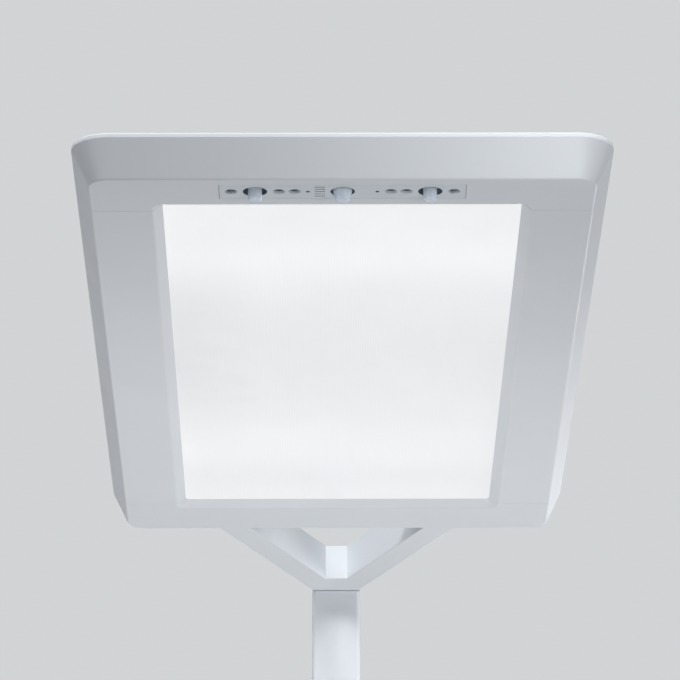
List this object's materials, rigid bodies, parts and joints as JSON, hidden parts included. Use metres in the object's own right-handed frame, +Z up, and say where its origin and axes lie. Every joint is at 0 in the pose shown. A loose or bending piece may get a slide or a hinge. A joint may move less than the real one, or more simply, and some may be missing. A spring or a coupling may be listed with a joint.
{
  "type": "office floor lamp",
  "caption": "Office floor lamp: long flat white head with a lit underside and a sensor strip, held by a forked bracket on a slim pole over a flat floor plate.",
  "frame": {"origin": "on the floor, under the axis of the pole", "axes": "+Z up along the pole; the head reaches out towards -Y; +X across the head"},
  "size_m": [0.3, 0.8782, 1.9642],
  "materials": {
    "head_paint": "fine satin white powder coat with a faint orange peel",
    "pole_paint": "satin white powder coat on an extruded tube",
    "plate_paint": "fine textured white powder coat on steel plate",
    "prismatic_acrylic": "opal acrylic with a fine grid of microprisms",
    "clear_acrylic": "clear cast acrylic",
    "reflector_white": "matt white reflector film",
    "strip_plastic": "fine grained light grey moulding, dark inside the wells",
    "lens_plastic": "milky translucent polyethylene",
    "sensor_metal": "plated can",
    "sensor_resin": "smoky clear resin",
    "light_pipe": "dark translucent light pipe",
    "panel_plastic": "fine grained dark moulding",
    "key_plastic": "satin light grey moulding",
    "grey_plastic": "grey polyamide",
    "white_plastic": "white polycarbonate",
    "lead_sheath": "black cable sheath",
    "pad_rubber": "matt rubber sheet",
    "zinc_steel": "bright zinc plated steel",
    "bare_aluminium": "bare milled aluminium",
    "circuit_board": "green circuit board",
    "white_board": "white circuit board with yellow light packages"
  },
  "bodies": {
    "lamp": {"base_pad": "pad_rubber", "base_plate": "plate_paint", "pole_foot": "bare_aluminium", "foot_bolts": "zinc_steel", "foot_screws": "zinc_steel", "pole": "pole_paint", "gland_body": "grey_plastic", "gland_cap": "grey_plastic", "gland_nut": "grey_plastic", "mains_terminal": "white_plastic", "supply_lead": "lead_sheath", "driver": "white_plastic", "driver_clips": "zinc_steel", "output_lead": "lead_sheath", "signal_lead": "lead_sheath", "control_panel": "panel_plastic", "key_switches": "panel_plastic", "key_board": "circuit_board", "panel_screws": "zinc_steel", "rear_frame": "head_paint", "neck_screws": "zinc_steel", "fork_cover": "head_paint", "fork_cover_screws": "zinc_steel", "front_frame": "head_paint", "side_rail_left": "head_paint", "side_rail_right": "head_paint", "rail_screws": "zinc_steel", "diffuser": "prismatic_acrylic", "light_guide": "clear_acrylic", "led_strip_left": "white_board", "led_strip_right": "white_board", "reflector_sheet": "reflector_white", "carrier_plate": "bare_aluminium", "carrier_screws": "zinc_steel", "uplight_boards": "white_board", "head_terminal": "white_plastic", "top_cover": "head_paint", "top_window": "clear_acrylic", "cover_screws": "zinc_steel", "sensor_strip": "strip_plastic", "sensor_board": "circuit_board", "board_screws": "zinc_steel", "presence_lens_left": "lens_plastic", "presence_lens_middle": "lens_plastic", "presence_lens_right": "lens_plastic", "presence_sensors": "sensor_metal", "light_sensors": "sensor_resin", "status_lights": "light_pipe"},
    "key_power": {"key_power": "key_plastic"},
    "key_brighter": {"key_brighter": "key_plastic"},
    "key_dimmer": {"key_dimmer": "key_plastic"}
  },
  "joints": [
    {"name": "key_power_press", "type": "slide", "parent": "lamp", "child": "key_power", "axis": [0, 1, 0], "range_m": [0, 0.001], "stiffness_N_per_m": 1200, "springref_m": -0.0006},
    {"name": "key_brighter_press", "type": "slide", "parent": "lamp", "child": "key_brighter", "axis": [0, 1, 0], "range_m": [0, 0.001], "stiffness_N_per_m": 1200, "springref_m": -0.0006},
    {"name": "key_dimmer_press", "type": "slide", "parent": "lamp", "child": "key_dimmer", "axis": [0, 1, 0], "range_m": [0, 0.001], "stiffness_N_per_m": 1200, "springref_m": -0.0006}
  ]
}
